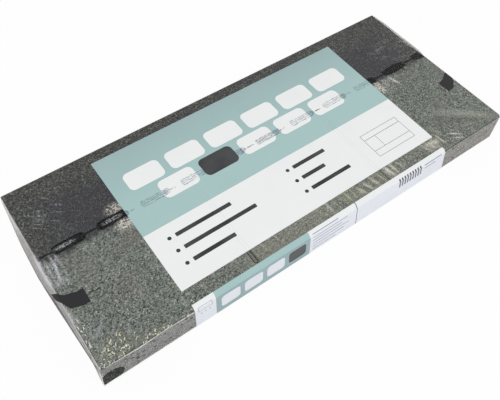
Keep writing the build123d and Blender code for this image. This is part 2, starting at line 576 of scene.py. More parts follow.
def sealing_bitumen(tree):
    """Soft sealing bitumen: jet black, smooth and wet-looking."""
    place = node(tree, "TexCoord").outputs["Object"]
    ripple = node(tree, "TexNoise", {"Vector": place, "Scale": 1 / (4 * MM), "Detail": 3.0})
    rough = node(tree, "MapRange", {0: ripple, 3: 0.15, 4: 0.45})
    bump = node(tree, "Bump", {"Height": ripple, "Strength": 0.6, "Distance": 0.6 * MM})
    return node(tree, "BsdfPrincipled", {
        "Base Color": "#0B0C0D", "Roughness": rough, "Specular IOR Level": 0.12,
        "Normal": bump})


def dab_middle(x):
    """Middle line of the sealing strip, which drifts back a little towards the left end."""
    return dab_line + strip_drift * smoothstep(100, -400, x)


def bitumen_height(x, y):
    """Height of the bitumen over the sheet: three lumpy beads to a dab, a smear round them and a tail."""
    k = round((x - dab_first) / dab_pitch)
    along = x - dab_first - dab_pitch * k
    off = y - dab_middle(x)
    wobble = 1.1 * noise_at(x / 9, y / 5, 2.0)
    inside = dab_length / 2 - abs(along) + 2.5 * noise_at(k, y / 4, 6.0)
    height = -0.3
    width = dab_half_width * min(1.0, max(0.0, inside + 2) / 9) ** 0.5
    if k >= first_spindle:
        width = spindle_half_width * max(0.0, 1 - (along / 40) ** 2) ** 0.6
    if inside > -1:
        height = max(height, 0.28 * smoothstep(0, 1.6, width - abs(off + 0.6 * wobble)) - 0.02)
    if inside > 1.5:
        for bead in (-1, 0, 1):
            gap = abs(off - min(bead_spacing, 0.75 * width) * bead + 0.5 * wobble)
            lump = 0.75 + 0.35 * noise_at(x / 6, 3.0 * bead, k)
            if bead == 0:
                lump -= 0.12
            height = max(height, bead_height * lump * max(0.0, 1 - (gap / bead_half_width) ** 2) ** 0.5)
        blob = math.hypot((along - dab_length / 2 + 7) / 8.0, off / 7.0)
        height = max(height, 0.62 * math.sqrt(max(0.0, 1 - blob ** 2)))
    # The tail that the nozzle drew from the right end of each dab to the next one
    tail = along if along > 0 else along + dab_pitch
    share = (tail - dab_length / 2) / (dab_pitch - dab_length)
    if -0.2 < share < 1.2:
        half_width = 2.8 - 1.5 * min(max(share, 0.0), 1.0)
        line = off - 0.9 * noise_at(x / 12, 1.0, 9.0)
        height = max(height, 0.3 * smoothstep(0, 1.2, half_width - abs(line)))
    return height


def make_sealing_strip(material):
    """The strip: a fine grid raised to the bitumen's height, cut off where there is none, closed below."""
    columns = through([-half_length + 0.8, half_length - 0.8], 1.7)
    rows = through([dab_line - 13.0, dab_line + 16.0], 0.95)
    strip = grid_piece("sealing_dabs", columns, rows)
    for vertex in strip.data.vertices:
        vertex.co.z = bitumen_height(vertex.co.x / MM, vertex.co.y / MM) * MM
    heights = [vertex.co.z for vertex in strip.data.vertices]
    delete_faces(strip, lambda face: max(heights[i] for i in face.vertices) <= 0.02 * MM)
    with editing():
        bpy.ops.mesh.select_mode(type="EDGE")
        bpy.ops.mesh.region_to_loop()
        bpy.ops.mesh.extrude_region_move(TRANSFORM_OT_translate={"value": (0, 0, 0)})
    for vertex in strip.data.vertices:
        vertex.co.z = -0.15 * MM if vertex.select else max(vertex.co.z, 0.0)
        vertex.co.z += sheet_top * MM
    with editing():
        bpy.ops.mesh.fill_holes(sides=0)
    strip.data.materials.append(material)
    finish_shell(strip, 70)
    return strip


# Creases and haze of the film

# Colours of the film's haze; along the creases they are painted glints and reflections
gold, pale, lilac, beige, olive = "#E6E0A8", "#F0F0EC", "#DCDCEC", "#C9C2AE", "#B4B492"
sand, glare = "#D0CDBB", "#E8E7EC"
creases = []
crease_cells = {}
cell = 20.0

# Creases on the flat film as (x0, y0, x1, y1, half width, height), often with a haze and its colour. The
# light haze along the creases is painted glints and reflections; the dark one is a painted shadow.
# These folds run out from the two front corners, where the ends were drawn in
fan_folds = (
    (490, -206, 366, -110, 13.0, 0.5, 0.34, "#C0C4B6"), (494, -204, 384, -109, 7.0, 0.3, 0.2, "#C8CABB"),
    # The dark band below the longest fold, #4A4C44, is a painted shadow
    (481, -222, 369, -128, 9.0, -0.2, 0.24, "#4A4C44"), (496, -213, 425, -156, 6.0, 0.2, 0.24, "#C0C2A8"),
    (500, -205, 456, -107, 4.5, 0.25, 0.24, "#C0C4B4"), (483, -208, 402, -183, 4.0, 0.25, 0.24, "#C0C4B4"),
    (484, -189, 448, -153, 1.6, -0.3), (448, -153, 421, -131, 1.6, -0.3), (442, -190, 352, -128, 5.0, -0.25),
    (493, -124, 448, -98, 1.8, 0.35, 0.3), (488, -150, 425, -112, 2.2, 0.3, 0.1, olive),
    (470, -211, 420, -196, 2.4, 0.5, 0.24, beige), (360, -181, 389, -202, 2.2, 0.5, 0.85),
    (364, -197, 387, -213, 2.0, 0.5, 0.85), (339, -148, 350, -174, 4.0, 0.3, 0.34, beige),
    (366, -176, 395, -186, 2.0, 0.3, 0.4, beige), (376, -184, 400, -204, 1.8, 0.4, 0.3, beige),
    (400, -190, 420, -209, 1.8, 0.4, 0.25, olive), (-453, -132, -485, -164, 1.8, 0.5, 0.42, lilac),
    (-420, -167, -437, -189, 1.8, 0.4, 0.34, lilac), (-479, -185, -495, -200, 1.8, 0.5, 0.5),
    (-440, -150, -462, -176, 1.4, 0.3, 0.25, lilac), (-470, -120, -494, -160, 1.6, 0.3, 0.2, lilac))
# Painted glints along the folds of the strip between the top print and the front band
strip_folds = (
    (291, -177, 330, -186, 7.0, 0.5, 0.85, sand), (300, -192, 322, -199, 4.5, 0.4, 0.5, sand),
    (136, -171, 144, -200, 5.0, 0.6, 0.75, sand), (97, -183, 105, -197, 5.0, 0.6, 0.85, "#DCD8B8"),
    (118, -178, 128, -202, 4.0, 0.5, 0.6, sand), (176, -172, 181, -201, 4.5, 0.6, 0.75, sand),
    (161, -168, 163, -176, 4.0, -0.3))
# Painted highlights along the folds beside the ends, without their height and colour, and fine painted
# highlight lines on the headlap behind them
end_folds = ((-479, 37, -478, 14, 2.4, 0.5), (-478, 18, -480, -12, 3.4, 1.0), (-481, -8, -484, -30, 2.8, 0.9),
             (-502, 48, -503, 0, 5.0, 1.3), (-503, 6, -502, -42, 5.0, 1.3), (-491, 34, -492, -24, 2.6, 0.45),
             (-470, 34, -468, -8, 3.0, 0.3), (-488, -20, -490, -44, 3.0, 0.3),
             (-499, -96, -500, -130, 2.0, 0.7), (-494, -112, -493, -124, 2.6, 0.8),
             (500, 139, 501, 81, 1.6, 0.6), (492, 108, 501, 50, 1.4, 0.4))
headlap_lines = ((-483, 146, -469, 134), (-469, 134, -440, 119), (-474, 125, -446, 105),
                 (-459, 142, -444, 132), (-428, 140, -407, 125))
# Low folds that cross the print, then the rubbed streaks by the last dabs
panel_folds = (
    (240, -140, 300, -172, 3.0, 0.22), (215, -120, 262, -150, 2.4, 0.16), (60, -150, 110, -172, 2.6, 0.16),
    (-60, -60, 20, -70, 4.0, 0.1), (-250, -150, -150, -158, 4.0, 0.1), (120, -60, 170, -35, 3.0, 0.12),
    (-300, 170, -260, 60, 5.0, 0.1), (250, 170, 300, 90, 4.0, 0.12), (-150, 10, -120, -20, 2.5, 0.12),
    (376, 22, 384, -12, 3.0, 0.4, 0.8), (366, 24, 369, 2, 2.2, 0.3, 0.4, beige),
    (396, 24, 399, 8, 1.8, 0.3, 0.35, beige), (341, 28, 335, -11, 3.0, 0.3, 0.5))


def crease(x0, y0, x1, y1, width, height, haze=0.0, colour=pale):
    creases.append((x0, y0, x1, y1, width, height, haze, linear(colour)[:3]))


def strip_ripples():
    """Slanting ripples between the top print and the front band, and the crumple where that band ends, with
    painted glints along them.
    """
    x = -38.0
    while x < 335:
        lean = random.uniform(2, 12)
        weight = smoothstep(-40, 40, x) * (1 - 0.75 * within(205, 220, 280, 300, x))
        crease(x, -168 + random.uniform(-4, 6), x + lean, -201, random.uniform(2.0, 4.0),
               random.uniform(0.3, 0.7) * weight, random.uniform(0.3, 1.25) * weight,
               random.choice((beige, "#DCD9BE", pale, olive)))
        x += random.uniform(9, 20)
    for _ in range(16):
        x, y = random.uniform(288, 330), random.uniform(-190, -176)
        crease(x, y, x + random.uniform(-7, 9), y + random.uniform(-8, 4), random.uniform(1.5, 2.6), 0.35,
               random.uniform(0.25, 0.6), random.choice((beige, pale)))


def end_ripples():
    """Short upright ripples with painted glints, among the painted highlights along the folds of the left
    end.
    """
    for _ in range(26):
        x, y = random.uniform(-496, -468), random.uniform(-34, 30)
        crease(x, y, x + random.uniform(-1, 1), y - random.uniform(6, 16), random.uniform(1.2, 2.0), 0.3,
               random.uniform(0.2, 0.5), glare)


def headlap_ripples():
    """Faint long ripples with painted reflection streaks over the headlap at the right."""
    for _ in range(24):
        x, y = random.uniform(380, 498), random.uniform(44, 130)
        crease(x, y, x + random.uniform(14, 46), y - random.uniform(2, 12), random.uniform(1.0, 1.6), 0.15,
               random.uniform(0.05, 0.17))


def lay_creases():
    """Makes the creases of the tables and the random ones, and puts each in the cells that it can reach."""
    for fold in fan_folds + strip_folds:
        crease(*fold)
    strip_ripples()
    for *line, haze in end_folds:
        crease(*line, 0.5, haze, glare)
    end_ripples()
    for line in headlap_lines:
        crease(*line, 1.2, 0.25, 0.34)
    for fold in panel_folds:
        crease(*fold)
    headlap_ripples()
    for item in creases:
        x0, y0, x1, y1, width = item[:5]
        reach = 3 * width
        for i in range(int((min(x0, x1) - reach) // cell), int((max(x0, x1) + reach) // cell) + 1):
            for j in range(int((min(y0, y1) - reach) // cell), int((max(y0, y1) + reach) // cell) + 1):
                crease_cells.setdefault((i, j), []).append(item)


def glint_density(u, v):
    """How thickly short painted glints lie on the film, along the left of the front edge and at its corner.
    """
    if u > panel_left - 2:
        return 0.0
    reach = 14 + 46 * within(-503, -475, -445, -390, u)
    by_front = 0.75 * smoothstep(front_fold + reach, front_fold - 4, v)
    by_end = 0.35 * smoothstep(7, 2, abs(u + 495)) * within(-205, -195, -102, -90, v)
    return max(by_front, by_end)


def streak_density(u, v):
    """How thickly fine slanting painted highlight streaks lie on the film over the headlap, mostly by its
    ends.
    """
    left = 0.12 * smoothstep(-400, -430, u) * within(85, 105, 145, 165, v)
    right = 0.05 * smoothstep(370, 440, u) * within(40, 56, 90, 120, v)
    return max(left, right)


def cracked(u, v):
    """How much the haze is a fine crackle: in the crumpled spots and the painted highlights along the folds
    at the left end.
    """
    amount = 0.4 * smoothstep(-462, -472, u) * within(-48, -36, 36, 44, v)
    for x, y, rx, ry, _, _ in crumples:
        amount = max(amount, smoothstep(1.05, 0.8, math.hypot((u - x) / rx, (v - y) / ry)))
    return amount


def creased(u, v):
    """Height that the creases add at a flat place, with their haze and its colour: painted glints and
    reflections, and one painted shadow.
    """
    height, hazes_and_painted_light = 0.0, []
    for x0, y0, x1, y1, width, rise, haze, colour in crease_cells.get((int(u // cell), int(v // cell)), ()):
        dx, dy = x1 - x0, y1 - y0
        t = min(max(((u - x0) * dx + (v - y0) * dy) / (dx * dx + dy * dy), 0.0), 1.0)
        distance = math.hypot(u - x0 - t * dx, v - y0 - t * dy)
        if distance < 3 * width:
            profile = math.exp(-(distance / width) ** 2) * math.sin(math.pi * min(max(t, 0.06), 0.94)) ** 0.5
            height += rise * profile
            if haze:
                hazes_and_painted_light.append((haze * profile ** 1.5, colour))
    return height, hazes_and_painted_light


def dab_height(u, v):
    """How much a sealing dab under the film lifts it."""
    off = abs(v - dab_middle(u))
    if off > 16 or abs(u) > half_length:
        return 0.0
    nearest = dab_first + dab_pitch * round((u - dab_first) / dab_pitch)
    along = smoothstep(dab_length / 2 + 5, dab_length / 2 - 3, abs(u - nearest))
    across = smoothstep(15, 10, off)
    beads = 0.5 + 0.5 * math.cos(2 * math.pi * off / bead_spacing)
    return along * across * (0.42 + 0.1 * beads)


# Each is (u, v, half length, half width, strength, colour) of a crumpled spot, milky with painted reflection
# in it; the two on the dab line are painted glints on the bitumen
crumples = ((-330, 58, 24, 17, 0.75, "#D8D3C6"), (-330, 16, 24, 17, 1.0, "#D8D3C6"),
            (336, 8, 14, 26, 0.9, "#D6CCC4"), (358, 12, 12, 16, 0.5, "#D6D2C8"),
            (-445, 39, 26, 9, 1.0, "#D8D8DC"), (-345, 39, 24, 9, 1.0, "#D8D8DC"))


def crumpled(u, v):
    """Height and haze of the crumpled spots at a flat place, milky with painted reflection and glints."""
    height, hazes_and_painted_light = 0.0, []
    for x, y, rx, ry, strength, colour in crumples:
        inside = 1 - math.hypot((u - x) / rx, (v - y) / ry)
        if inside > 0:
            ripple = noise_at(u / 6, v / 6, x) + 0.9 * noise_at(u / 2.6, v / 2.6, y)
            fade = min(1.0, inside * 2.2)
            height += 0.5 * fade * max(0.0, ripple)
            hazes_and_painted_light.append((strength * fade, linear(colour)[:3]))
    return height, hazes_and_painted_light


def film_relief(u, v):
    """Height of the film over its plain surface, and the list of its haze layers, painted light among them.
    """
    wave = 0.14 * noise_at(u / 70, v / 45, 1.3) + 0.06 * noise_at(u / 22, v / 18, 5.1)
    fold, hazes_and_painted_light = creased(u, v)
    spot, more = crumpled(u, v)
    slot = 0.0
    if v < slot_end:
        for place in slot_places:
            slot = max(slot, slot_dent * smoothstep(9, 2, abs(u - place)))
    total = wave + fold + spot + dab_height(u, v) - slot
    return min(max(total, relief_least), relief_most), hazes_and_painted_light + more


def haze_and_painted_light_mix(hazes_and_painted_light):
    """One colour and one amount from several layers of haze and painted light laid over each other."""
    clear, red, green, blue, total = 1.0, 0.0, 0.0, 0.0, 0.0
    for amount, colour in hazes_and_painted_light:
        clear *= 1 - min(amount, 0.98)
        total += amount
        red += amount * colour[0]
        green += amount * colour[1]
        blue += amount * colour[2]
    if total < 1e-6:
        return (0.8, 0.8, 0.8, 0.0)
    return (red / total, green / total, blue / total, 1 - clear)


# Film mesh

def film_rows():
    """The film's girth as points (y, z) with their flat coordinate v, from the back top edge round."""
    depth, bend = -front_fold, film_bend
    quarter = [math.radians(22.5 * k) for k in range(1, 4)]
    rows = []
    top_parts = (([depth - bend, panel_back, 60.0], 5.2), ([60.0, 12.0], 2.0),
                 ([12.0, panel_split, mark_back], 5.0), ([mark_back, mark_front, -125.0], 3.8),
                 ([-125.0, panel_front, band_back, front_fold + slope_in], 2.0))
    for stops, step in top_parts:
        for y in through(stops, step)[:-1]:
            rows.append((y, film_top, y))
    for inset, drop in front_slope:
        rows.append((front_fold + inset, film_top - drop, front_fold + inset - drop))
    for z in through([film_top - slope_drop, bend], 2.2)[1:]:
        rows.append((front_fold, z, front_base + z))
    for a in quarter:
        rows.append((-depth + bend - bend * math.cos(a), bend - bend * math.sin(a), front_base - bend * a))
    for y in through([-depth + bend, depth - bend], 30.0):
        rows.append((y, 0.0, front_base - underside_gap - (y + depth)))
    for a in quarter:
        rows.append((depth - bend + bend * math.sin(a), bend - bend * math.cos(a), back_foot_v - bend * a))
    for z in through([bend, film_top - bend], 7.5):
        rows.append((depth, z, back_wall_v + film_top - z))
    for a in quarter:
        y, z = depth - bend + bend * math.cos(a), film_top - bend + bend * math.sin(a)
        rows.append((y, z, depth + bend - bend * a))
    return rows


def film_columns():
    """Places along the bundle, then the steps down each end wall to the weld and round its fin."""
    body = []
    for stops, step in (([-film_half_length, mark_left_inner], 1.6), ([mark_left_inner, panel_left], 2.4),
                        ([panel_left, -200.0, 0.0, 200.0, band_right, panel_right], 3.0),
                        ([panel_right, mark_right_inner], 2.6), ([mark_right_inner, film_half_length], 1.8)):
        body += through(stops, step)[:-1]
    body.append(film_half_length)
    steps = (0.05, 0.12, 0.22, 0.34, 0.48, 0.64, 0.82, 1.0)
    wall = [(t, 0.0) for t in steps] + [(1.0, weld_fin), (1.001, weld_fin)]
    left = [(-1, t, fin) for t, fin in reversed(wall)]
    right = [(1, t, fin) for t, fin in wall]
    return left + [(0, x, 0.0) for x in body] + right


def front_section(x, row):
    """A row's place in the film's section, by how worn the front edge is at that place along the bundle."""
    y, z, v = row
    if not front_base + film_bend - 0.01 < v < front_fold + slope_in + 0.01:
        return row
    wear = edge_wear(x)
    if v > front_fold - slope_drop - 0.01:
        y, z = front_fold + (y - front_fold) * wear, film_top - (film_top - z) * wear
    else:
        foot = film_top - slope_drop
        z = film_bend + (z - film_bend) * (film_top - slope_drop * wear - film_bend) / (foot - film_bend)
    return y, z, y + z - film_top


def film_place(column, row):
    """Where the film lies before its creases, its flat coordinates, and its place in the section."""
    side, along, fin = column
    x = side * film_half_length if side else along
    y, z, v = front_section(x, row)
    if side == 0:
        return (x, y, z), (x, v), (y, z)
    middle = film_top / 2
    rise = (z - middle) / middle
    level = 0.0 if along > 1 else rise * (1 - along)
    across = max(0.0, 1 - (y / film_half_depth) ** 2)
    # The right end stands out squarer behind its mark, where the film is looser
    square = 2 + 4 * smoothstep(20, 60, y) if side > 0 else 2
    out = min(between(left_belly if side < 0 else right_belly, y), end_roll * (1 - abs(level) ** square))
    wrinkle = noise_at(y / 16, level * 3, side * 5.0) + noise_at(y / 5, level * 2, side)
    if along < 1:
        out += 0.5 * wrinkle * smoothstep(0, 0.3, along) * across ** 0.5
    out = min(out, 12.3) + fin * across ** 0.3
    half_gap = 0.0 if along > 1 else weld_half_thickness * along * max(-1.0, min(1.0, rise))
    u = side * (film_half_length + along * middle)
    return (side * (film_half_length + out), y, middle + level * middle + half_gap), (u, v), (y, z)


# How far the film by the end marks has been drawn back and together, by the distance from the bundle's middle
left_pull = ((470, 0), (493, 8), (501, 23), (508, 34), (514, 42), (525, 46))
left_gather = ((485, 0), (493, 0.05), (501, 0.4), (511, 0.75), (521, 0.88))
right_pull = ((462, 0), (479, 3.5), (495, 17.4), (501, 24), (512, 29), (525, 31))
right_gather = ((470, 0), (479, -0.1), (495, 0.08), (501, 0.42), (512, 0.62))


def mark_shift(u, v):
    """How far a point near an end mark has been moved, as the film was pulled over the end."""
    pull = between(left_pull if u < 0 else right_pull, abs(u))
    gather = between(left_gather if u < 0 else right_gather, abs(u))
    off = v - mark_middle
    return pull * math.exp(-(off / 55) ** 2) - gather * off * math.exp(-(off / 30) ** 2)


def front_haze(u, z):
    """The loose film over the cut edges is milky grey, less milky and so darker along its foot, and thinner
    towards the open corner.
    """
    grain = noise_at(u / 5.0, z / 7.0, 2.0) + 0.5 * noise_at(u / 16, z / 12, 7.0)
    amount = 0.74 + 0.4 * grain
    amount -= 0.6 * smoothstep(3.5, 0.5, z) + 0.12 * smoothstep(22, 8, z)
    amount -= 0.25 * smoothstep(-452, -497, u) * smoothstep(66, 45, z)
    for x, height, half in ((408, 58, 18), (430, 60, 9)):
        amount -= 0.2 * smoothstep(1.2, 0.3, math.hypot((u - x) / half, (z - height) / 5))
    return [(min(max(0.08, amount), 0.94), linear("#A09B93" if u > 0 else "#9E9C98")[:3])]


def contact_density(u, z):
    """How thickly dark breaks lie on the front, where the loose film touches the cut edges."""
    amount = 0.05 + 0.2 * within(-465, -450, -345, -322, u) * within(14, 26, 58, 66, z)
    return amount * smoothstep(0, 4, z) * smoothstep(film_half_length, film_half_length - 4, abs(u))


def end_haze(u, y, z):
    """The bellied ends are grey where the film stands off the stack and brighter along the weld's folds."""
    fold = noise_at(y / 7, z / 20, 12.0) + 0.5 * noise_at(y / 2.6, z / 14, 3.0)
    standing = within(-205, -186, 140, 178, y) if u < 0 else smoothstep(208, 170, y)
    low = smoothstep(66, 42, z)
    amount = 0.1 + standing * (0.66 + 0.16 * fold + 0.16 * low)
    amount -= 0.2 * within(-205, -190, -170, -150, y)
    # By the front corner it is as milky as the front
    amount = max(amount, 0.55 * smoothstep(-188, -200, y) * smoothstep(20, 45, z))
    light, dark = linear("#B4B1AE"), linear("#8E8B89")
    return [(min(amount, 0.95), [a + low * (b - a) for a, b in zip(light, dark)][:3])]


def back_haze(u, z):
    """The back wall is as milky as the front, evenly."""
    grain = noise_at(u / 6, z / 4, 3.0)
    return [(0.6 + 0.15 * grain, linear("#A7A39B")[:3])]


def film_marks(u, v, z):
    """Density of painted glints, how much the film sticks to bitumen, its grain, and density of painted
    highlight streaks on the top or of dark marks on the front.
    """
    if v > back_wall_v or v < front_base:
        return (0.0, 0.0, 0.6, 0.0)
    if v < fold_line(u):
        return (0.0, 0.0, 1.0, contact_density(u, z))
    stuck = 0.0
    off = abs(v - dab_middle(u))
    if off < dab_reach and abs(u) < half_length:
        stuck = smoothstep(0.02, 0.15, bitumen_height(u, v))
        if off < pale_bead_reach and u < dab_first + 4.4 * dab_pitch:
            # The middle beads of the left dabs stand out a little paler
            stuck = min(stuck, 0.6)
    grain = 0.35 if abs(u) > film_half_length else 1.0 + cracked(u, v)
    return (glint_density(u, v), stuck, grain, streak_density(u, v))


def strip_haze(u):
    """How milky the film is between the top print and the front band: faintly, and less towards the right."""
    amount = (0.2 - 0.1 * smoothstep(-20, 10, u)) * within(-210, -150, panel_right, panel_right + 20, u)
    return amount * (1 - 0.8 * within(205, 225, 285, 305, u))


def shape_film(film, flat):
    """Moves the smooth film into its creases, waves and dents, and returns each point's haze, with painted
    glints, reflections and shade laid in, and its marks.
    """
    tints, marks = [], []
    for vertex, (u, v, y, z) in zip(film.data.vertices, flat):
        hazes_and_painted_light = []
        inner = film_half_length - abs(u)
        fold_v = fold_line(u)
        on_top = fold_v - 0.1 < v < back_wall_v
        on_front = front_base - 1 < v <= fold_v + 0.1
        if on_top:
            vertex.co.y += mark_shift(u, v) * MM
            height, hazes_and_painted_light = film_relief(u, v)
            fade = smoothstep(0, 5, inner) * smoothstep(half_depth + 1, half_depth - 2, v)
            vertex.co.z += height * MM * fade * smoothstep(front_fold - 4, front_fold + 4, v)
            if inner < 0.5:
                hazes_and_painted_light = hazes_and_painted_light + end_haze(u, y, vertex.co.z / MM)
            # A faint olive haze where the painted glints lie
            if glint_density(u, v) > 0.1:
                hazes_and_painted_light.append((0.05, linear(olive)[:3]))
            if v < panel_front:
                hazes_and_painted_light.append((strip_haze(u), linear(beige)[:3]))
        elif on_front:
            drop = (film_top - z) / film_top
            skew = band_skew * smoothstep(band_left, band_right, u) * smoothstep(500, band_right + 4, u)
            vertex.co.x += skew * drop * MM
            ripple = noise_at(u / 28, v / 30, 9.0) + 0.5 * noise_at(u / 8, v / 30, 4.0)
            dent = 0.18 * abs(ripple) * smoothstep(0, 8, film_top - z) * smoothstep(0, 8, z)
            vertex.co.y += dent * smoothstep(0, 20, inner) * MM
            hazes_and_painted_light = front_haze(u, z)
        elif inner < 0.5:
            hazes_and_painted_light = end_haze(u, y, vertex.co.z / MM)
        elif v > back_wall_v:
            hazes_and_painted_light = back_haze(u, z)
        # A painted highlight: a thin pale line along the fold at the left of the front edge
        if abs((v - fold_v) / edge_wear(u) + 0.9) < 1.5 and -493 < u < panel_left:
            hazes_and_painted_light = [(0.97, linear(pale)[:3])]
        vertex.co.x -= corner_lean(u, y, z) * MM
        if z < far_foot_height:
            foot = smoothstep(478, 501, u) * (1 - z / far_foot_height) * smoothstep(-120, -205, y)
            vertex.co.x -= far_foot_pull * foot * MM
            vertex.co.z += far_foot_lift * foot * MM
        marks.append(film_marks(u, v, z))
        red, green, blue, amount = haze_and_painted_light_mix(hazes_and_painted_light)
        tints.append((red, green, blue, amount * (1 - 0.96 * marks[-1][1])))
    return tints, marks


def paint_film(film, flat, materials):
    """Gives the film its flat coordinates and its faces their clear, printed or black material."""
    mesh = film.data
    coordinates = mesh.uv_layers.new(name="film_flat")
    for loop in mesh.loops:
        u, v = flat[loop.vertex_index][:2]
        coordinates.data[loop.index].uv = (u * MM, v * MM)
    for material in materials:
        mesh.materials.append(material)
    for face in mesh.polygons:
        spots = [flat[i] for i in face.vertices]
        u = sum(s[0] for s in spots) / len(spots)
        v = sum(s[1] for s in spots) / len(spots)
        if panel_left < u < panel_right and panel_front < v < panel_back:
            face.material_index = 1
        elif band_left < u < band_right and front_base - 2 < v < band_back:
            face.material_index = 1
        elif mark_front < v < mark_back and (u < mark_left_inner or u > mark_right_inner):
            face.material_index = 2 if abs(u) < film_half_length + 20 else 0


def open_corner(film):
    """Tears the film open low at the front left corner, with a smooth rim."""
    mesh = film.data

    def reach(point):
        return math.hypot((point.x / MM - corner_x) / corner_half_length,
                          (point.z / MM - corner_z) / corner_half_height)

    def torn(face):
        at_front = face.center.y < (-film_half_depth + 9) * MM and face.center.x < 0
        return at_front and face.center.z < 60 * MM and reach(face.center) < 1

    delete_faces(film, torn)
    uses = {}
    for face in mesh.polygons:
        for key in face.edge_keys:
            uses[key] = uses.get(key, 0) + 1
    rim = {i for key, count in uses.items() if count == 1 for i in key}
    for i in rim:
        point = mesh.vertices[i].co
        at_front = point.y < (-film_half_depth + 2) * MM and -film_half_length * MM < point.x < 0
        ratio = reach(point)
        if at_front and 0.7 < ratio < 1.4:
            point.x = (corner_x + (point.x / MM - corner_x) / ratio) * MM
            point.z = max(0.0, (corner_z + (point.z / MM - corner_z) / ratio) * MM)


def make_film(materials):
    """The film: a grid laid out flat, wrapped round the girth, closed behind and at both welds."""
    rows, columns = film_rows(), film_columns()
    lay_creases()
    film = grid_piece("printed_shrink_film", list(range(len(columns))), list(range(len(rows) + 1)))
    flat = []
    for vertex in film.data.vertices:
        column = columns[round(vertex.co.x / MM)]
        row = rows[round(vertex.co.y / MM) % len(rows)]
        place, (u, v), (y, z) = film_place(column, row)
        flat.append((u, v, y, z))
        vertex.co = Vector(place) * MM
    # The haze attribute holds the film's milkiness and its painted glints, reflections and shade
    for name, values in zip(("film_haze_and_painted_light", "film_marks"), shape_film(film, flat)):
        layer = film.data.color_attributes.new(name=name, type="FLOAT_COLOR", domain="POINT")
        for spot, value in zip(layer.data, values):
            spot.color = value
    paint_film(film, flat, materials)
    open_corner(film)
    finish_shell(film, 50)
    return film


# Film materials

# Thin printed dashes beside the end marks, and painted shade along the left slot's edges before the front
# band, each as (u, v, half length, half width)
printed_dashes_and_slot_shade = ((-448, -76.5, 5.5, 1.2), (-437, -78.5, 6.5, 1.2), (452, -77, 1.2, 4.0),
                   (453, -86, 1.2, 4.0), (-173, -185, 1.1, 15), (-166, -185, 1.1, 15), (-169, -200, 2.6, 1.2))
cell_half_u, cell_half_v, cell_radius = 41.0, 24.0, 12.0       # the top panel's blank cells
tab_half_u, tab_half_v, tab_radius = 21.0, 20.0, 8.0           # the front band's smaller ones
accent_u, tab_accent_u, upper_cells_v, lower_cells_v, tabs_z = -92.5, -82.0, 98.0, 42.0, 36.0
table_u, table_v, table_half_u, table_half_v, rule = 247.0, -112.0, 52.0, 33.0, 1.2


def box_mask(tree, point, u, v, half_u, half_v, radius=0.4):
    """1 inside a rounded rectangle on the flat film, given in millimetres, and 0 outside."""
    core = ((half_u - radius) * MM, (half_v - radius) * MM, 1.0)
    for operation, other in (("SUBTRACT", (u * MM, v * MM, 0)), ("ABSOLUTE", core), ("SUBTRACT", core),
                             ("MAXIMUM", (0, 0, 0)), ("LENGTH", core)):
        point = node(tree, "VectorMath", {0: point, 1: other}, operation=operation)
    return node(tree, "Math", {0: point.outputs["Value"], 1: radius * MM}, operation="LESS_THAN")


def strokes(tree, flat, angle, length, width, density):
    """Short crisp strokes scattered over the flat film at an angle, and a random value of each."""
    turned = node(tree, "Mapping", {0: flat, 2: (0, 0, math.radians(angle)), 3: (length * MM, width * MM, 1)},
                  vector_type="TEXTURE")
    cells = node(tree, "TexVoronoi", {"Vector": turned, "Scale": 1.0}, voronoi_dimensions="2D")
    chance, tint, _ = node(tree, "SeparateColor", {0: cells.outputs["Color"]}).outputs
    inside = node(tree, "MapRange", {0: cells, 1: 0.37, 2: 0.27})
    chosen = node(tree, "Math", {0: chance, 1: density}, operation="LESS_THAN")
    return all_of(tree, inside, chosen), tint


def wandering(tree, point, size, reach):
    """The point moved about at random by up to half the reach, in swirls of the given size."""
    swirl = node(tree, "TexNoise", {"Vector": point, "Scale": 1 / (size * MM), "Detail": 2.0})
    stray = node(tree, "VectorMath", {0: swirl.outputs["Color"], 1: (-0.5, -0.5, -0.5)}, operation="ADD")
    moved = node(tree, "VectorMath", {0: stray, "Scale": reach * MM}, operation="SCALE")
    return node(tree, "VectorMath", {0: point, 1: moved}, operation="ADD")


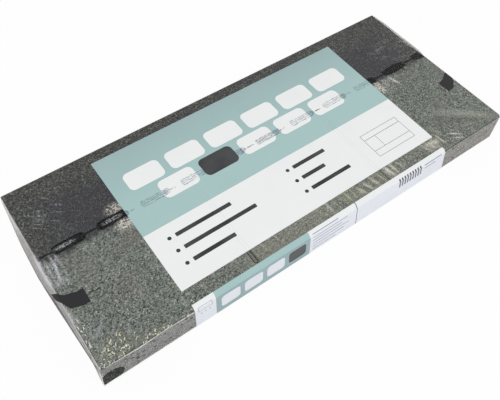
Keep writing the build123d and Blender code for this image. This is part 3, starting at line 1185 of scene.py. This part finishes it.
def clear_shrink_film(tree):
    """Clear polyethylene shrink film: see-through and milky in places, with painted glints and reflections
    along its creases and its own soft shine.
    """
    place = node(tree, "TexCoord").outputs["Object"]
    flat = node(tree, "UVMap", uv_map="film_flat")
    u, v, _ = node(tree, "SeparateXYZ", {0: flat}).outputs
    haze = node(tree, "Attribute", attribute_name="film_haze_and_painted_light").outputs
    marks = node(tree, "Attribute", attribute_name="film_marks").outputs
    glints, stuck, grainy = node(tree, "SeparateColor", {0: marks["Color"]}).outputs
    on_top = node(tree, "Math", {0: v, 1: (front_fold - 9) * MM}, operation="GREATER_THAN")
    # The strokes are painted glints: leaning and upright ones where the film crinkles, and slanting painted
    # highlight streaks over the headlap
    strayed = wandering(tree, flat, 14, 16)
    leaning, tint = strokes(tree, strayed, 62, 14, 2.8, all_of(tree, glints, 0.45))
    upright, _ = strokes(tree, strayed, 104, 8, 2.4, all_of(tree, glints, 0.3))
    streak, _ = strokes(tree, flat, -37, 34, 2.2, all_of(tree, marks["Alpha"], on_top))
    glint = any_of(tree, leaning, upright, all_of(tree, streak, 0.3))
    # Dark marks: where the loose front film touches the cut edges, the printed dashes, and painted shade
    # along the left slot's edges
    dash, _ = strokes(tree, flat, -4, 11, 8.0, marks["Alpha"])
    dark = any_of(tree, without(tree, dash, on_top), *[box_mask(tree, flat, *box) for box in printed_dashes_and_slot_shade])
    # The film shines less where it sticks to the bitumen or touches the cut edges
    bump = crinkled(tree, place, 9, 5.0, 0.3)
    edge_on = node(tree, "Fresnel", {"IOR": 1.5, "Normal": bump})
    shine = node(tree, "MapRange", {0: any_of(tree, dark, stuck), 3: 0.55, 4: 0.1})
    clear = node(tree, "BsdfTransparent", {"Color": (0.985, 0.985, 0.985, 1)})
    gloss = node(tree, "BsdfPrincipled", {
        "Base Color": "#FFFFFF", "Metallic": 1.0, "Roughness": 0.16, "Normal": bump})
    sheer = node(tree, "MixShader", {0: all_of(tree, edge_on, shine), 1: clear, 2: gloss})
    # Its haze is even, grainy or broken into crackled flakes
    grain = node(tree, "TexNoise", {"Vector": place, "Scale": 1 / (2.6 * MM), "Detail": 3.0})
    patchy = node(tree, "MapRange", {0: grain, 1: 0.35, 2: 0.65, 3: 0.5, 4: 1.25})
    crackle = node(tree, "TexNoise", {"Vector": place, "Scale": 1 / (3.0 * MM), "Detail": 3.0})
    flakes = node(tree, "MapRange", {0: crackle, 1: 0.46, 2: 0.56, 3: 0.08, 4: 1.0})
    flaky = node(tree, "MapRange", {0: grainy, 1: 1.1, 2: 1.7})
    thin = node(tree, "Mix", {0: grainy, 2: 1.0, 3: patchy})
    broken = node(tree, "Mix", {0: flaky, 2: thin, 3: flakes})
    amount = any_of(tree, all_of(tree, haze["Alpha"], broken), all_of(tree, any_of(tree, glint, dark), 0.85))
    by_end = node(tree, "MapRange", {0: u, 1: -484 * MM, 2: -490 * MM})
    spark = painted(tree, gold, (any_of(tree, tint, by_end, streak), pale))
    colour = painted(tree, haze["Color"], (glint, spark), (dark, "#262624"))
    milky = node(tree, "BsdfPrincipled", {"Base Color": colour, "Roughness": 0.45, "Normal": bump})
    return node(tree, "MixShader", {0: amount, 1: sheer, 2: milky})


def repeated(tree, point, start, pitch):
    """The flat point with its u wrapped into one pitch round 0, so one shape repeats along the row."""
    u, v, _ = node(tree, "SeparateXYZ", {0: point}).outputs
    low, high = (start - pitch / 2) * MM, (start + pitch / 2) * MM
    wrapped = node(tree, "Math", {0: u, 1: low, 2: high}, operation="WRAP")
    centred = node(tree, "Math", {0: wrapped, 1: start * MM}, operation="SUBTRACT")
    return node(tree, "CombineXYZ", {0: centred, 1: v})


def course(tree, point, first, count, pitch, v, half_u, half_v, radius):
    """A row of rounded cells on the flat film."""
    shape = box_mask(tree, repeated(tree, point, first, pitch), 0.0, v, half_u, half_v, radius)
    middle = first + pitch * (count - 1) / 2
    return all_of(tree, shape, box_mask(tree, point, middle, v, pitch * count / 2, half_v + 1))


def outlined(tree, flat, u, v, half_u, half_v, width):
    """The outline of a rectangle on the flat film."""
    return without(tree, box_mask(tree, flat, u, v, half_u, half_v),
                   box_mask(tree, flat, u, v, half_u - width, half_v - width))


def top_print(tree, flat, v, white, mint, dark):
    """Blank white cells and a dark one on the mint, and plain bars, dots and an empty table on the white."""
    size = (cell_half_u, cell_half_v, cell_radius)
    cells = [course(tree, flat, first, count, 98.0, row, *size)
             for first, count, row in ((-239.5, 6, upper_cells_v), (-190.5, 5, lower_cells_v))]
    accent = box_mask(tree, flat, accent_u, lower_cells_v, *size)
    marks = []
    for row, left, right in ((-62, 128, 84), (-94, 168, 60), (-126, 96, 102)):
        for start, length in ((-262, left), (24, right)):
            marks.append(box_mask(tree, flat, start + length / 2, row, length / 2, 4.6, 1.5))
            marks.append(box_mask(tree, flat, start - 14, row, 4.2, 4.2, 4.2))
    table = (outlined(tree, flat, table_u, table_v, table_half_u, table_half_v, rule),
             box_mask(tree, flat, table_u, -94, table_half_u, 0.7),
             box_mask(tree, flat, table_u, -128, table_half_u, 0.6), box_mask(tree, flat, 226, -111, 0.6, 17))
    on_mint = node(tree, "Math", {0: v, 1: panel_split * MM}, operation="GREATER_THAN")
    faded = node(tree, "MapRange", {0: v, 1: 40 * MM, 2: panel_back * MM, 3: 0.0, 4: 1.0})
    colour = painted(tree, white, (on_mint, painted(tree, mint, (faded, "#9FB8B7"))),
                     (any_of(tree, *cells), white), (any_of(tree, accent, *marks), dark),
                     (any_of(tree, *table), "#8E9090"))
    return colour, accent


def front_print(tree, flat, v, white, mint, dark):
    """The front band: a plain box and dots, cells on mint, thin grey bars and a row of upright bars."""
    def at(z):
        return front_base + z

    size = (tab_half_u, tab_half_v, tab_radius)
    small = [outlined(tree, flat, -294, at(62), 15, 8, 1.1)]
    small += [box_mask(tree, flat, u, at(44), 1.8, 1.8, 1.8) for u in (-303, -294, -285)]
    small += [box_mask(tree, flat, start + length / 2, at(z), length / 2, half_v)
              for start, z, length, half_v in ((-44, 72, 66, 1.4), (-44, 60, 88, 1.4), (-44, 48, 74, 1.4),
                                               (-44, 36, 92, 1.4), (-44, 24, 80, 1.4), (-44, 12, 60, 1.4),
                                               (262, 66, 52, 1.7), (262, 53, 34, 1.7))]
    bars = any_of(tree, course(tree, flat, 190.0, 9, 7.6, at(55), 2.1, 17, 0.3),
                  box_mask(tree, flat, 70, at(42), 0.9, 60))
    # Below the fold the white and the mint are painted darker and bluer: painted shade of the upright face
    below = node(tree, "Math", {0: v, 1: (front_fold - fold_drop) * MM}, operation="LESS_THAN")
    white_with_painted_shade = painted(tree, white, (below, "#EEF0F4"))
    mint_with_painted_shade = painted(tree, mint, (below, "#97B0B1"))
    return painted(
        tree, white_with_painted_shade, (box_mask(tree, flat, -161.0, -250.0, 110.0, 60.0), mint_with_painted_shade),
        (box_mask(tree, flat, 0.0, band_back, 400.0, 0.6, 0.2), "#5E6468"),
        (course(tree, flat, -238.0, 3, 52.0, at(tabs_z), *size), white_with_painted_shade),
        (box_mask(tree, flat, tab_accent_u, at(tabs_z), *size), dark), (any_of(tree, *small), "#9C9EAC"),
        (bars, "#5C5E66"))


def telegraph(tree, point):
    """Where the dark dabs and the slots' edges show through the ink, a broken violet-grey."""
    near = repeated(tree, wandering(tree, point, 9, 5), dab_first, dab_pitch)
    half = dab_length / 2
    beads = [box_mask(tree, near, 0.0, dab_line + off, half - 2, 0.95, 0.9) for off in (-6.4, -1.6, 2.4, 6.4)]
    rim = without(tree, box_mask(tree, near, 0.0, dab_line, half, 7.3, 7.0),
                  box_mask(tree, near, 0.0, dab_line, half - 2.0, 5.4, 5.2))
    blob = box_mask(tree, near, half - 7, dab_line, 7.5, 6.6, 6.6)
    tail = box_mask(tree, near, dab_pitch / 2, dab_line, 16, 1.1, 1.0)
    filled = any_of(tree, *[box_mask(tree, point, dab_first + k * dab_pitch, dab_line, half - 3, 6, 4.0)
                            for k in (4, 5)])
    stretched = node(tree, "Mapping", {0: point, 3: (1 / (7 * MM), 1 / (3 * MM), 1.0)})
    broken = node(tree, "TexNoise", {"Vector": stretched, "Scale": 1.0, "Detail": 3.0})
    share = node(tree, "MapRange", {0: broken, 1: 0.4, 2: 0.56, 3: 0.15, 4: 0.75})
    shown = any_of(tree, *beads, all_of(tree, rim, 0.5), blob, tail, all_of(tree, filled, 0.6))
    slot_middle, slot_reach = (slot_end - half_depth) / 2, (slot_end + half_depth) / 2
    edges = [box_mask(tree, point, middle + side * slot_half, slot_middle, 0.9, slot_reach, 0.4)
             for middle in slot_places for side in (-1, 1)]
    return any_of(tree, all_of(tree, shown, share), all_of(tree, any_of(tree, *edges), 0.06))


def printed_film(tree):
    """Flexographic ink on the film: matt mint and white, with the film's gloss over it."""
    flat = node(tree, "UVMap", uv_map="film_flat")
    v = node(tree, "SeparateXYZ", {0: flat}).outputs[1]
    inks = linear("#F5F6F3"), linear("#AAC8C5"), linear("#2C2C2E")
    on_band = node(tree, "Math", {0: v, 1: (band_back + 1) * MM}, operation="LESS_THAN")
    top, accent = top_print(tree, flat, v, *inks)
    cloud = node(tree, "TexNoise", {"Vector": flat, "Scale": 1 / (70 * MM), "Detail": 2.0})
    worn = node(tree, "MapRange", {0: cloud, 1: 0.35, 2: 0.7, 3: 0.0, 4: 0.07})
    colour = painted(tree, top, (on_band, front_print(tree, flat, v, *inks)),
                     (without(tree, telegraph(tree, flat), accent), "#5A6078"), (worn, "#C9D2D2"))
    return node(tree, "BsdfPrincipled", {
        "Base Color": colour, "Roughness": 0.4, "Specular IOR Level": 0.25,
        "Normal": crinkled(tree, flat, 11, 3.0, 0.12)})


def black_ink_film(tree):
    """Solid black ink of the printer's end marks, slightly grey with the film's gloss."""
    place = node(tree, "TexCoord").outputs["Object"]
    return node(tree, "BsdfPrincipled", {
        "Base Color": "#303031", "Roughness": 0.5, "Specular IOR Level": 0.1,
        "Normal": crinkled(tree, place, 8, 3.0, 0.25)})


bpy.context.scene.view_settings.view_transform = "Standard"
make_camera()
make_light()
make_floor()

felt_edge = new_material("cut_felt_edge", cut_felt_edge)
top_felt = new_material("granule_felt", granule_felt, dab_line - 8)
lower_felt = new_material("granule_felt_below", granule_felt, half_depth)
bitumen = new_material("sealing_bitumen", sealing_bitumen)
skins = [new_material(skin.__name__, skin) for skin in (clear_shrink_film, printed_film, black_ink_film)]
for piece, replaced, slot in (
        (make_top_shingle(top_felt, felt_edge), "top_shingle", "shingle_felt"),
        (make_stack(lower_felt, felt_edge), "shingle_stack", "shingle_felt"),
        (make_sealing_strip(bitumen), "sealing_strip", "sealing_bitumen"),
        (make_film(skins), "shrink_film", "clear_film")):
    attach(piece, "root")
    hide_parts(replaced)
